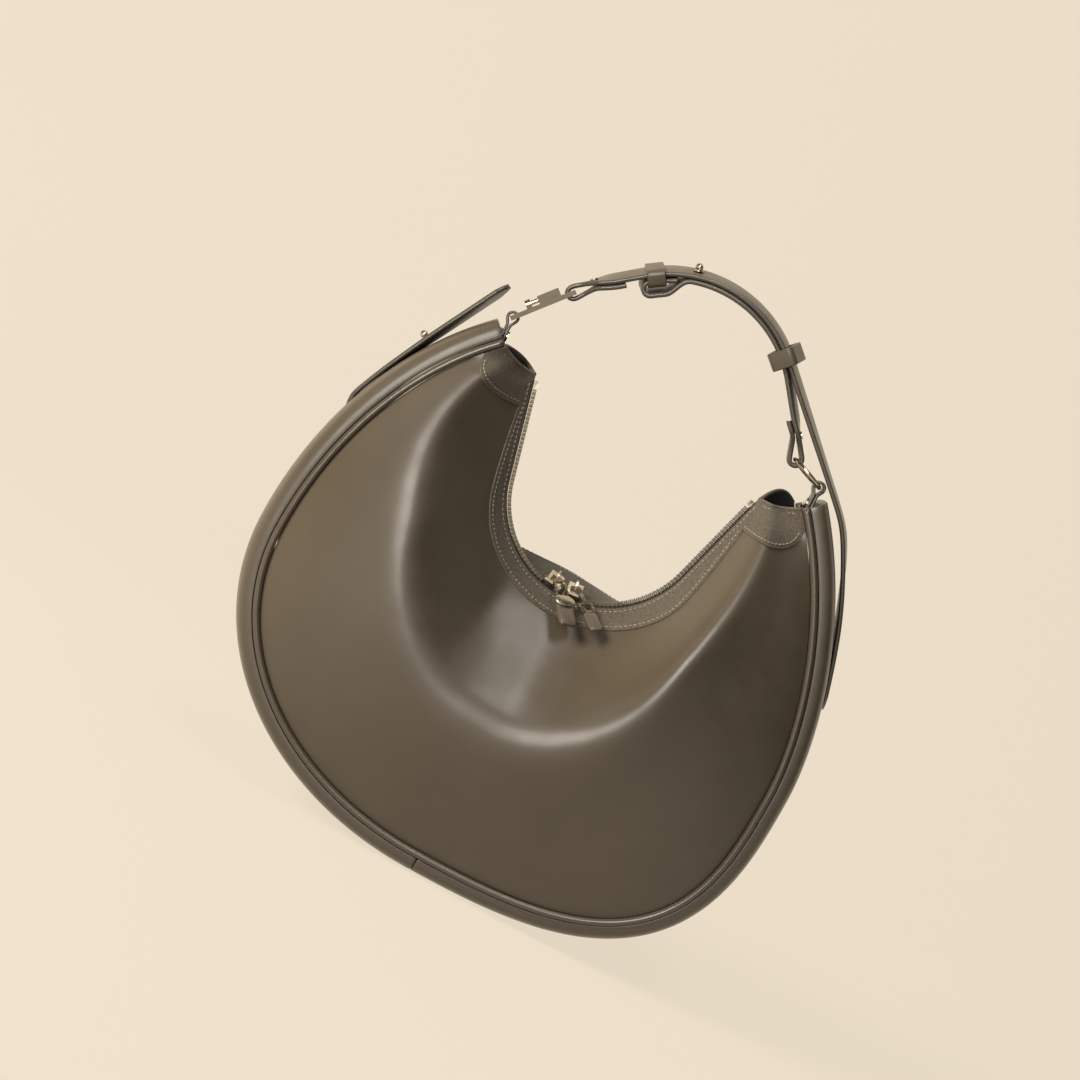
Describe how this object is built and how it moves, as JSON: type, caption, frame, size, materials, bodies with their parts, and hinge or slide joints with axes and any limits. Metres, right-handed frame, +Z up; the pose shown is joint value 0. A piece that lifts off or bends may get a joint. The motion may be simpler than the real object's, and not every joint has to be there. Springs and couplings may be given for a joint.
{
  "type": "hobo bag",
  "caption": "Crescent leather hobo bag with a piped gusset, a curved two-way zip between suede facings, and a short two-layer handle on a hook and a ring.",
  "frame": {"origin": "middle of the flat base", "axes": "+Z up to the handle, +X to the right seen from the front, front panel towards -Y"},
  "size_m": [0.3699, 0.136, 0.4107],
  "materials": {
    "leather": "smooth semi-gloss",
    "trim_leather": "smooth, painted edges",
    "suede_facing": "suede",
    "zip_tape": "woven",
    "zip_teeth": "polished pale gold",
    "lining": "woven",
    "hardware": "polished pale gold"
  },
  "bodies": {
    "bag": {"front_panel": "leather", "back_panel": "leather", "left_gusset": "leather", "right_gusset": "leather", "front_piping": "trim_leather", "back_piping": "trim_leather", "front_zip_facing": "suede_facing", "back_zip_facing": "suede_facing", "front_zip_tape": "zip_tape", "back_zip_tape": "zip_tape", "front_zip_teeth": "zip_teeth", "back_zip_teeth": "zip_teeth", "zip_end_stops": "zip_teeth", "front_lining": "lining", "back_lining": "lining", "gusset_lining": "lining", "slip_pocket": "lining", "left_horn_lining": "lining", "right_horn_lining": "lining", "left_horn_insert": "trim_leather", "right_horn_insert": "trim_leather", "left_anchor_rivet": "hardware", "right_anchor_rivet": "hardware", "left_side_strap": "trim_leather", "left_side_stud": "hardware", "right_side_strap": "trim_leather"},
    "handle": {"left_anchor": "leather", "right_anchor": "leather", "hook_link": "hardware", "right_ring": "hardware", "hook_strap": "leather", "ring_strap": "leather", "left_keeper": "trim_leather", "strap_stud": "hardware", "strap_rivets": "hardware"},
    "right_keeper": {"right_keeper": "trim_leather"},
    "hook_bolt": {"hook_bolt": "hardware"},
    "left_slider": {"left_slider": "hardware"},
    "left_pull": {"left_pull_frame": "hardware", "left_pull_cap": "hardware", "left_pull_tab": "leather"},
    "right_slider": {"right_slider": "hardware"},
    "right_pull": {"right_pull_frame": "hardware", "right_pull_tab": "leather"}
  },
  "joints": [
    {"name": "handle_swing", "type": "hinge", "parent": "bag", "child": "handle", "pos_m": [0, 0, 0.314], "axis": [1, 0, 0], "range_deg": [-40, 40]},
    {"name": "keeper_slide", "type": "hinge", "parent": "handle", "child": "right_keeper", "pos_m": [0, 0, 0.328], "axis": [0, 1, 0], "range_deg": [-30, 0]},
    {"name": "hook_bolt_slide", "type": "slide", "parent": "handle", "child": "hook_bolt", "axis": [0.6293, 0, 0.7771], "range_m": [0, 0.0045], "stiffness_N_per_m": 200},
    {"name": "left_slider_travel", "type": "hinge", "parent": "bag", "child": "left_slider", "pos_m": [0, 0, 0.254], "axis": [0, 1, 0], "range_deg": [0, 65], "deforming": ["front_zip_teeth", "back_zip_teeth"]},
    {"name": "left_pull_swing", "type": "hinge", "parent": "left_slider", "child": "left_pull", "pos_m": [-0.00654, 0, 0.2002], "axis": [-0.9927, 0, 0.1207], "range_deg": [0, 120]},
    {"name": "right_slider_travel", "type": "hinge", "parent": "bag", "child": "right_slider", "pos_m": [0, 0, 0.254], "axis": [0, -1, 0], "range_deg": [0, 65], "deforming": ["front_zip_teeth", "back_zip_teeth"]},
    {"name": "right_pull_swing", "type": "hinge", "parent": "right_slider", "child": "right_pull", "pos_m": [0.00654, 0, 0.2002], "axis": [-0.9927, 0, -0.1207], "range_deg": [0, 120]}
  ]
}
